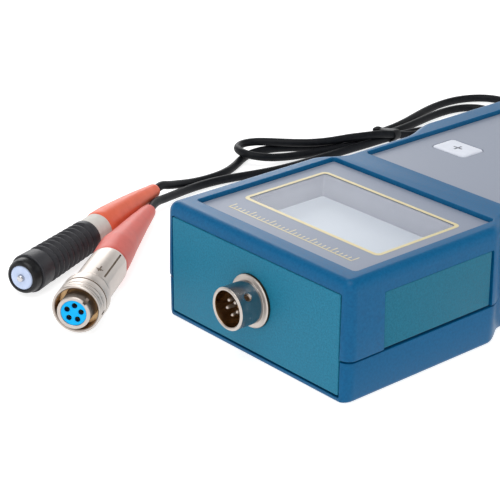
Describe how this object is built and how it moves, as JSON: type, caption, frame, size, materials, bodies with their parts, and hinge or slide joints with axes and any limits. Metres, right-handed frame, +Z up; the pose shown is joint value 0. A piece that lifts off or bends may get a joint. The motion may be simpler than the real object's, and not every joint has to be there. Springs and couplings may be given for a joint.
{
  "type": "coating thickness gauge",
  "caption": "Handheld coating thickness gauge with a waisted case, display window, keys, round locking socket and a ribbed probe on a hanked lead with a round plug.",
  "frame": {"origin": "on the table, under the middle of the case", "axes": "+Z up out of the display face, -Y out of the connector end, +X to the right seen from above with the tail away from the viewer"},
  "size_m": [0.1472, 0.2261, 0.0316],
  "materials": {
    "case_blue": "satin, fine grain",
    "panel_teal": "fine texture",
    "window_clear": "clear",
    "label_grey": "printed film",
    "bezel_grey": "matt",
    "lcd_grey": "glossy",
    "board_green": "solder mask",
    "chip_black": "matt",
    "zebra_pink": "matt",
    "key_white": "satin",
    "key_red": "satin",
    "nickel": "bright",
    "steel": "plain",
    "contact_gold": "bright",
    "insulator_brown": "matt",
    "insulator_blue": "glossy",
    "wire_red": "glossy",
    "cell_jacket": "satin",
    "grip_black": "satin",
    "sensor_white": "satin",
    "coil_copper": "enamelled",
    "ring_pale": "satin",
    "boot_red": "satin",
    "boot_pink": "satin",
    "cable_black": "satin"
  },
  "bodies": {
    "gauge": {"top_case": "case_blue", "bottom_case": "case_blue", "end_panel": "panel_teal", "side_insert_left": "panel_teal", "side_insert_right": "panel_teal", "display_window": "window_clear", "display_label": "label_grey", "lcd_bezel": "bezel_grey", "lcd_glass": "lcd_grey", "zebra_strips": "zebra_pink", "main_pcb": "board_green", "ic_chips": "chip_black", "keypad_overlay": "label_grey", "key_switches": "chip_black", "pcb_screws": "steel", "socket_shell": "nickel", "socket_insulator": "insulator_brown", "socket_pins": "nickel", "socket_nut": "steel", "hookup_wires": "wire_red", "battery_cells": "cell_jacket", "battery_plates": "steel", "battery_springs": "steel", "case_screws": "steel", "probe_grip": "grip_black", "probe_nose": "grip_black", "sensor_spring": "steel", "probe_ring": "ring_pale", "probe_boot": "boot_red", "plug_barrel": "nickel", "plug_insulator": "insulator_blue", "plug_contacts": "contact_gold", "plug_spring": "steel", "plug_backshell": "nickel", "plug_boot": "boot_pink", "cable_probe": "cable_black", "cable_plug": "cable_black", "cable_hank": "cable_black", "cable_tie": "cable_black"},
    "plus_key": {"key_plus": "key_white"},
    "minus_key": {"key_minus": "key_white"},
    "zero_key": {"key_zero": "key_white"},
    "mode_key": {"key_mode": "key_white"},
    "power_key": {"key_power": "key_red"},
    "door": {"battery_door": "case_blue"},
    "sensor": {"sensor_bobbin": "sensor_white", "sensor_core": "steel", "sensor_coil": "coil_copper"},
    "sleeve": {"plug_sleeve": "nickel"}
  },
  "joints": [
    {"name": "plus_press", "type": "slide", "parent": "gauge", "child": "plus_key", "axis": [0, 0, -1], "range_m": [0, 0.0005], "stiffness_N_per_m": 600},
    {"name": "minus_press", "type": "slide", "parent": "gauge", "child": "minus_key", "axis": [0, 0, -1], "range_m": [0, 0.0005], "stiffness_N_per_m": 600},
    {"name": "zero_press", "type": "slide", "parent": "gauge", "child": "zero_key", "axis": [0, 0, -1], "range_m": [0, 0.0005], "stiffness_N_per_m": 600},
    {"name": "mode_press", "type": "slide", "parent": "gauge", "child": "mode_key", "axis": [0, 0, -1], "range_m": [0, 0.0005], "stiffness_N_per_m": 600},
    {"name": "power_press", "type": "slide", "parent": "gauge", "child": "power_key", "axis": [0, 0, -1], "range_m": [0, 0.0005], "stiffness_N_per_m": 600},
    {"name": "door_slide", "type": "slide", "parent": "gauge", "child": "door", "axis": [0, 1, 0], "range_m": [0, 0.053]},
    {"name": "sensor_press", "type": "slide", "parent": "gauge", "child": "sensor", "axis": [-0.3802, 0.9248, -0.014], "range_m": [0, 0.003], "stiffness_N_per_m": 300, "deforming": ["sensor_spring"]},
    {"name": "sleeve_pull", "type": "slide", "parent": "gauge", "child": "sleeve", "axis": [-0.6112, 0.7908, -0.0323], "range_m": [0, 0.0018], "stiffness_N_per_m": 900, "deforming": ["plug_spring"]}
  ]
}
